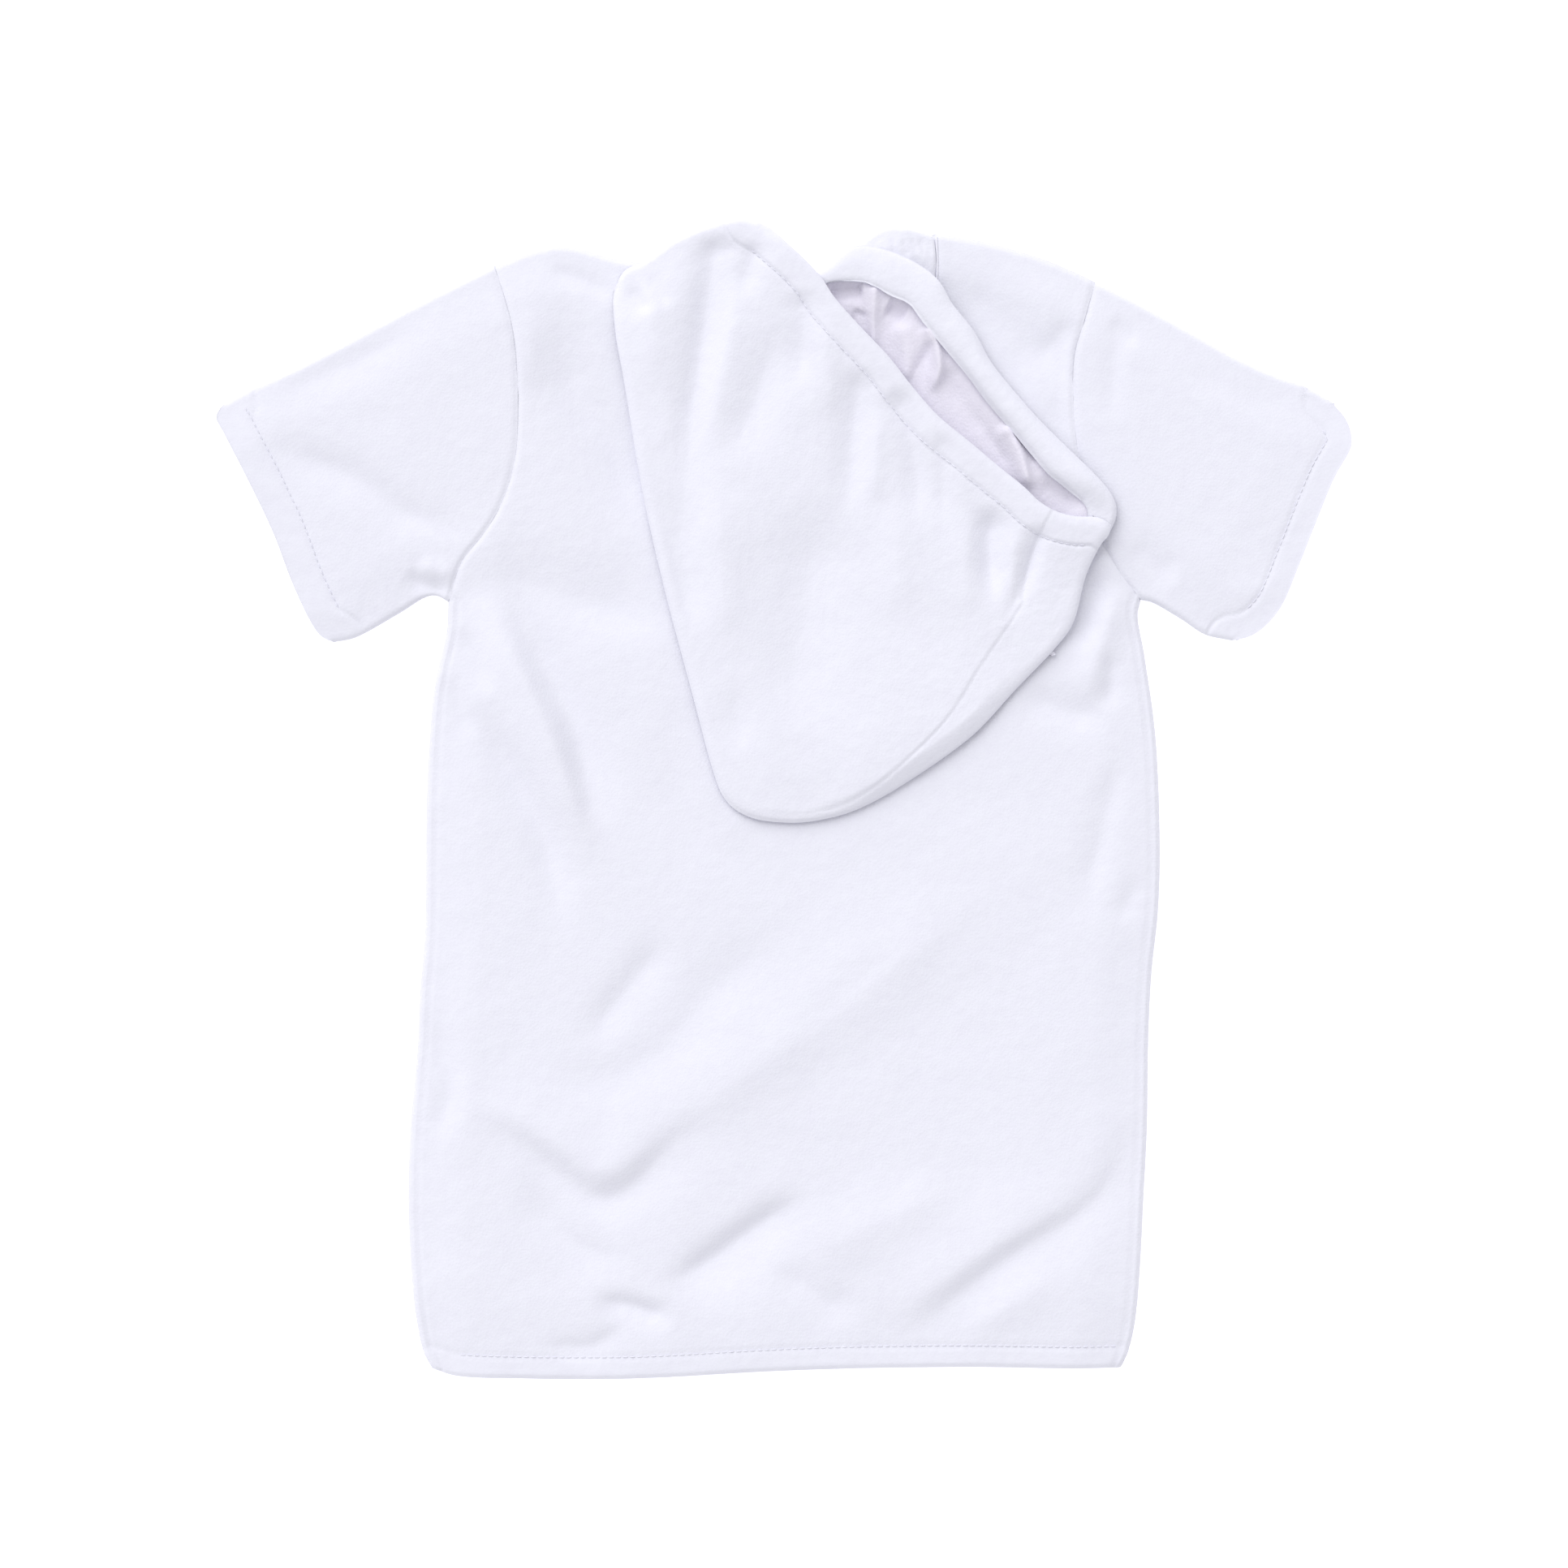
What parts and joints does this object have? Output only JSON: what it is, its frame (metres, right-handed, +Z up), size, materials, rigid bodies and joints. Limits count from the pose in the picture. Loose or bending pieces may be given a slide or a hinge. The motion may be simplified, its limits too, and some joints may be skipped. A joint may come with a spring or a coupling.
{
  "type": "hooded baby towel",
  "caption": "Short-sleeved towelling cover-up for a small child, lying face down and flat, with open sleeves, neck and hem and a two-piece hood folded onto the back.",
  "frame": {"origin": "under the middle of the garment's bounding box, on the surface that it lies on", "axes": "+X across the garment to the wearer's right sleeve, +Y from the hem up to the neck, +Z up, away from the surface, through the front, the back and then the hood"},
  "size_m": [0.5596, 0.5706, 0.026],
  "materials": {
    "towelling": "cotton towelling with a sheared pile, pale lavender white, matt",
    "hem_towelling": "the same towelling turned under and pressed flat by its stitching",
    "overlock_thread": "overlocked seam allowance, fine spun thread over cut cloth, matt",
    "sewing_thread": "spun polyester sewing thread, slight sheen"
  },
  "bodies": {
    "torso": {"front_panel": "towelling", "back_panel": "towelling", "front_hem": "hem_towelling", "back_hem": "hem_towelling", "left_side_seam": "overlock_thread", "right_side_seam": "overlock_thread", "left_shoulder_seam": "overlock_thread", "right_shoulder_seam": "overlock_thread", "left_armhole_seam": "overlock_thread", "right_armhole_seam": "overlock_thread", "neck_seam": "overlock_thread", "bottom_hem_stitching": "sewing_thread", "left_sleeve_head": "towelling", "right_sleeve_head": "towelling"},
    "hood": {"hood_left_panel": "towelling", "hood_right_panel": "towelling", "hood_left_hem": "hem_towelling", "hood_right_hem": "hem_towelling", "hood_centre_seam": "overlock_thread", "hood_hem_stitching": "sewing_thread"},
    "left_arm": {"left_sleeve": "towelling", "left_sleeve_hem": "hem_towelling", "left_underarm_seam": "overlock_thread", "left_sleeve_hem_stitching": "sewing_thread"},
    "right_arm": {"right_sleeve": "towelling", "right_sleeve_hem": "hem_towelling", "right_underarm_seam": "overlock_thread", "right_sleeve_hem_stitching": "sewing_thread"}
  },
  "joints": [
    {"name": "hood_fold", "type": "hinge", "parent": "torso", "child": "hood", "pos_m": [0, 0.2856, 0.012], "axis": [-1, 0, 0], "range_deg": [0, 140]},
    {"name": "left_sleeve_fold", "type": "hinge", "parent": "torso", "child": "left_arm", "pos_m": [-0.156, 0.1815, 0.0126], "axis": [0.1439, 0.9896, 0], "range_deg": [0, 150]},
    {"name": "right_sleeve_fold", "type": "hinge", "parent": "torso", "child": "right_arm", "pos_m": [0.165, 0.1775, 0.0126], "axis": [0.1511, -0.9885, 0], "range_deg": [0, 120]}
  ]
}
